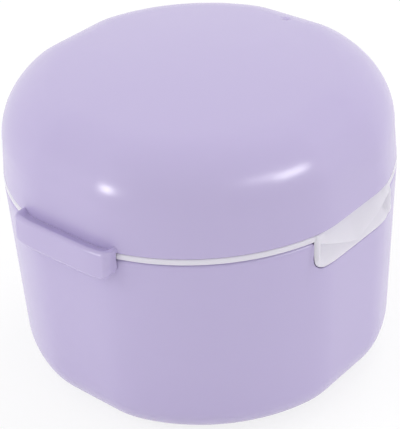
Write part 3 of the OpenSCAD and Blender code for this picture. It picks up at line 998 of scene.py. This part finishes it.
def lid():
    """Lid: upright wall, rounded shoulder and shallow dome, with the gate's mark near the hinge."""
    places = {v for v in spread(-SIDE_HALF, SIDE_HALF, SIDE_STEPS) if abs(v + GATE_X) > GATE_ROOM}
    back = plain_columns([along(MIDDLE_HALF)], places | {v - GATE_X for v in GATE_GRID})
    columns = round_columns([plain_columns(), back, plain_columns(), plain_columns()], 0)
    skin = Skin()

    def level(inset, z, scale=1.0, outside=False):
        """Row at one height, but for the gate's mark on the outside; scale draws it to the middle."""
        points = []
        for column in columns:
            x, y = plan_at(column[0], inset)
            x, y, height = hinge_cut(x * scale, y * scale, z, MIDDLE_HALF)
            points.append((x, y, height + gate_relief(x, y) if outside else height))
        return skin.row(points)

    def dome(off, scale):
        """Row of the dome, off below its skin, at a share of the way out to the shoulder."""
        inset, z = shoulder(SHOULDER_A, off)
        return level(inset, z + DOME_H * (1 - scale * scale), scale, outside=off == 0)

    r = LID_RIM_R
    scales = spread(0.04, 0.92, 11) + [0.96, 0.985]
    rows = [dome(LID_WALL, scale) for scale in scales]
    rows += [level(*shoulder(t, LID_WALL)) for t in spread(SHOULDER_A, 0, 26)]
    rows += [level(lid_inset(z) + LID_WALL, z) for z in LID_ROWS_INSIDE]
    for a in spread(0, TURN / 4, 3):
        rows.append(level(LID_BACK + LID_WALL - r * (1 - math.cos(a)), RING_TOP + r * (1 - math.sin(a))))
    # one row along the flat that stands on the rim
    rows.append(level(LID_BACK + 1.3, RING_TOP))
    for a in spread(0, TURN / 4, 6):
        rows.append(level(LID_BACK + r * (1 - math.sin(a)), RING_TOP + r * (1 - math.cos(a)), outside=True))
    rows += [level(lid_inset(z), z, outside=True) for z in LID_ROWS_OUTSIDE]
    rows += [level(*shoulder(t, 0), outside=True) for t in shoulder_steps()]
    rows += [dome(0, scale) for scale in scales[::-1]]
    skin.weave(rows)
    skin.cap(rows[0])
    skin.cap(rows[-1])
    made = piece("lid_shell", skin, LAVENDER, "lid")
    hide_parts("lid")


def tab_section(e):
    """Section of the thumb tab at a distance e from its end, as (out, z), from its back round its foot."""
    draw = drawn_back(e, TAB_END_R)
    low = TAB_LOW + drawn_back(e, TAB_CORNER_R)
    top = TAB_TOP - drawn_back(e, TAB_TOP_R) * TAB_TOP_FALL
    out = TAB_PROUD - draw
    gap = TAB_RIB_GAP + drawn_back(e, TAB_RIB_EDGE_R) if e < TAB_RIB_W else TAB_GAP
    r = TAB_EDGE_R - TAB_EDGE_LESS * draw / TAB_END_R
    heel = gap + TAB_BACK_R
    section = [(gap, TAB_ROOT), (gap, RING_TOP - 1.5), (gap, low + 0.5)]
    section += arc_points(heel, low + TAB_BACK_R, TAB_BACK_R, 180, 270, 3)
    section += [((heel + out - r) / 2, low)]
    section += arc_points(out - r, low + r, r, -90, 0, 8)
    # the front leans in a little to its round lip, and behind that the hollow slopes down to the lid
    face = out - TAB_LEAN
    lip = face - TAB_LIP_R
    section += [(out, low + r + 0.2), ((out + face) / 2, (low + top) / 2), (face, top - TAB_LIP_R - 0.2)]
    section += arc_points(lip, top - TAB_LIP_R, TAB_LIP_R, 0, 90, 9)
    sink = TAB_HOLLOW * rise(e, *HOLLOW_START)
    section += [(lip + (0.1 - lip) * t, top - sink * t) for t in spread(0, 1, 9)[1:]]
    return section + [(-TAB_INTO_LID, top - sink), (-TAB_INTO_LID, TAB_ROOT)]


def thumb_tab():
    """Thumb tab: it follows the side of the tub, with a hollow along its top, end ribs and round edges."""
    # sections stand close together round the ends, at the rib and where the hollow starts
    near = [TAB_END_R * (1 - math.cos(a)) for a in spread(0, TURN / 4, 12)]
    near += [TAB_RIB_W - 0.06, TAB_RIB_W, TAB_RIB_W + 0.06, 1.85, 2.1, 2.4, 2.7, 3.0]
    near.sort()
    middle = TAB_HALF - 3.2
    places = [e - TAB_HALF for e in near] + spread(-middle, middle, 24) + [TAB_HALF - e for e in near[::-1]]
    skin = Skin()
    rows = []
    for x in places:
        rows.append(skin.row([(x, -face_at(x, out), z) for out, z in tab_section(TAB_HALF - abs(x))]))
    skin.weave(rows)
    skin.cap(rows[0])
    skin.cap(rows[-1])
    made = piece("thumb_tab", skin, LAVENDER, "lid")


# Hinge and catch


def hinge():
    """The basket's knuckle between the lid's two lugs, each with a bore for the pin."""
    bore = [arc_points(PIN_Y, PIN_Z, PIN_R + PIN_PLAY, 0, 360, 20)[:-1]]
    web_a = math.degrees(math.asin(WEB_HALF / KNUCKLE_R))
    knuckle = arc_points(PIN_Y, PIN_Z, KNUCKLE_R, web_a - 180, 180 - web_a, 28)
    knuckle += [(WEB_ROOT_Y, PIN_Z + WEB_HALF), (WEB_ROOT_Y, PIN_Z - WEB_HALF)]
    reach = MIDDLE_HALF - HINGE_GAP
    made = slab("basket_knuckle", knuckle, bore, -reach, reach, HINGE_EDGE_R, WHITE, "basket")
    foot_a = math.degrees(math.asin((RING_TOP - PIN_Z) / KNUCKLE_R))
    lug = arc_points(PIN_Y, PIN_Z, KNUCKLE_R, -180 - foot_a, 35, 24) + LUG_GUSSET
    for name, low in (("hinge_lug_left", -HINGE_HALF), ("hinge_lug_right", MIDDLE_HALF)):
        high = low + HINGE_HALF - MIDDLE_HALF
        made = slab(name, lug, bore, low, high, HINGE_EDGE_R, LAVENDER, "lid")


def catch():
    """Snap catch: a lip on the white rim, and the bead behind the thumb tab that passes under it."""
    made = slab("catch_lip", CATCH_LIP, [], -CATCH_HALF, CATCH_HALF, CATCH_LIP_R, WHITE, "basket")
    made = slab("catch_bead", CATCH_BEAD, [], -CATCH_HALF, CATCH_HALF, CATCH_BEAD_R, LAVENDER, "lid")


def hinge_pin():
    """The pin keeps its own solid and gets the finish of drawn wire."""
    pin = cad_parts["hinge_pin"]
    pin.data.materials.clear()
    pin.data.materials.append(PIN_STEEL)


tub()
basket_rim()
grip("grip_right", 1)
grip("grip_left", -1)
basket_bowl()
lid()
thumb_tab()
hinge()
catch()
hinge_pin()


# Floor, light and camera


def seen_directly(tree):
    """1 for the rays that show the surroundings: from the camera, off a gloss, or through a clear piece."""
    path = add(tree, "ShaderNodeLightPath")
    gloss = add(
        tree,
        "ShaderNodeMath",
        {"operation": "MAXIMUM"},
        {0: path.outputs["Is Camera Ray"], 1: path.outputs["Is Glossy Ray"]},
    )
    clear = add(
        tree,
        "ShaderNodeMath",
        {"operation": "MAXIMUM"},
        {0: gloss.outputs[0], 1: path.outputs["Is Transmission Ray"]},
    )
    return clear.outputs[0]


def floor():
    """White studio floor: the camera and the gloss see it nearly pure white, with the case's shadow."""
    mesh = bpy.data.meshes.new("studio_floor")
    bm = bmesh.new()
    bmesh.ops.create_grid(bm, x_segments=1, y_segments=1, size=FLOOR_HALF * MM)
    bm.to_mesh(mesh)
    bm.free()
    material = bpy.data.materials.new("white card, matt")
    material.use_nodes = True
    tree = material.node_tree
    card = tree.nodes["Principled BSDF"]
    card.inputs["Base Color"].default_value = linear("#ffffff")
    card.inputs["Roughness"].default_value = 0.9
    card.inputs["Specular IOR Level"].default_value = 0.0
    white = add(tree, "ShaderNodeEmission", {"Color": linear("#ffffff"), "Strength": 1.0})
    share = add(
        tree,
        "ShaderNodeMath",
        {"operation": "MULTIPLY", 1: FLOOR_WHITE},
        {0: seen_directly(tree)},
    )
    mixed = add(
        tree,
        "ShaderNodeMixShader",
        None,
        {0: share.outputs[0], 1: card.outputs[0], 2: white.outputs[0]},
    )
    tree.links.new(mixed.outputs[0], tree.nodes["Material Output"].inputs["Surface"])
    mesh.materials.append(material)
    made = bpy.data.objects.new("studio_floor", mesh)
    bpy.context.scene.collection.objects.link(made)


def softbox(name, where, target, size, glow, mirrored=False):
    """Soft area lamp at a point in millimetres, facing another point; glow is the brightness of its face.

    A lamp is either a broad light or a card that shows only mirrored in the gloss.
    """
    lamp = bpy.data.lights.new(name, "AREA")
    lamp.shape = "RECTANGLE"
    lamp.size, lamp.size_y = size[0] * MM, size[1] * MM
    lamp.energy = glow * math.pi * lamp.size * lamp.size_y
    made = bpy.data.objects.new(name, lamp)
    made.location = Vector(where) * MM
    made.rotation_euler = (Vector(target) - Vector(where)).to_track_quat("-Z", "Y").to_euler()
    made.visible_glossy = mirrored
    made.visible_diffuse = not mirrored
    made.visible_transmission = not mirrored
    bpy.context.scene.collection.objects.link(made)


def lamps():
    """Lamps of the studio."""
    # broad lamps light the case from both sides and from behind, and leave the corner near the camera darker
    broad = [
        ("side_left", (-738, -479, 232), 2.6),
        ("front_left", (-300, -643, 599), 3.0),
        ("low_right", (738, 479, 232), 2.4),
        ("side_right", (355, 614, 599), 1.5),
        ("back", (0, 423, 840), 3.7),
    ]
    for name, where, glow in broad:
        softbox(name, where, CASE_MIDDLE, BROAD, glow)
    # cards face the places on the lid's shoulder where their highlights lie
    left, right = (10, -41, 64), (38, -16, 65)
    softbox("card_left", (-193, -632, 243), left, (172, 114), 21.0, mirrored=True)
    softbox("card_right", (595, 62, 390), right, (229, 102), 15.5, mirrored=True)
    softbox("card_right_end", (549, -106, 456), right, (229, 90), 5.0, mirrored=True)


def studio_world():
    """Plain soft light from all round; the camera, reflections and clear pieces see white in its place."""
    world = bpy.data.worlds.new("studio_world")
    bpy.context.scene.world = world
    world.use_nodes = True
    tree = world.node_tree
    soft = tree.nodes["Background"]
    soft.inputs["Color"].default_value = linear("#ffffff")
    soft.inputs["Strength"].default_value = ROUND_LIGHT
    white = add(tree, "ShaderNodeBackground", {"Color": linear("#ffffff"), "Strength": 1.0})
    mixed = add(
        tree,
        "ShaderNodeMixShader",
        None,
        {0: seen_directly(tree), 1: soft.outputs[0], 2: white.outputs[0]},
    )
    tree.links.new(mixed.outputs[0], tree.nodes["World Output"].inputs["Surface"])


def camera():
    """The photograph's view: from the front right, a little over 30 degrees up, with a long lens."""
    level = Vector((math.cos(CAMERA_AZIMUTH), math.sin(CAMERA_AZIMUTH), 0))
    away = Vector((level.y, -level.x, 0))
    back = away * math.cos(CAMERA_ELEVATION) + Vector((0, 0, math.sin(CAMERA_ELEVATION)))
    upright = back.cross(level)
    # turn the picture about the line of sight
    right = level * math.cos(CAMERA_ROLL) + upright * math.sin(CAMERA_ROLL)
    up = upright * math.cos(CAMERA_ROLL) - level * math.sin(CAMERA_ROLL)
    data = bpy.data.cameras.new("photo_camera")
    data.sensor_width = SENSOR
    data.lens = FOCAL_PX * SENSOR / PICTURE_H
    data.shift_x = (PICTURE_W / 2 - CENTRE_PX[0]) / PICTURE_H
    data.shift_y = (CENTRE_PX[1] - PICTURE_H / 2) / PICTURE_H
    made = bpy.data.objects.new("photo_camera", data)
    place = (Vector(CAMERA_AIM) + back * CAMERA_DISTANCE) * MM
    turned = Matrix((right, up, back)).transposed().to_4x4()
    made.matrix_world = Matrix.Translation(place) @ turned
    bpy.context.scene.collection.objects.link(made)
    bpy.context.scene.camera = made


floor()
lamps()
studio_world()
camera()
bpy.context.scene.view_settings.view_transform = "Standard"
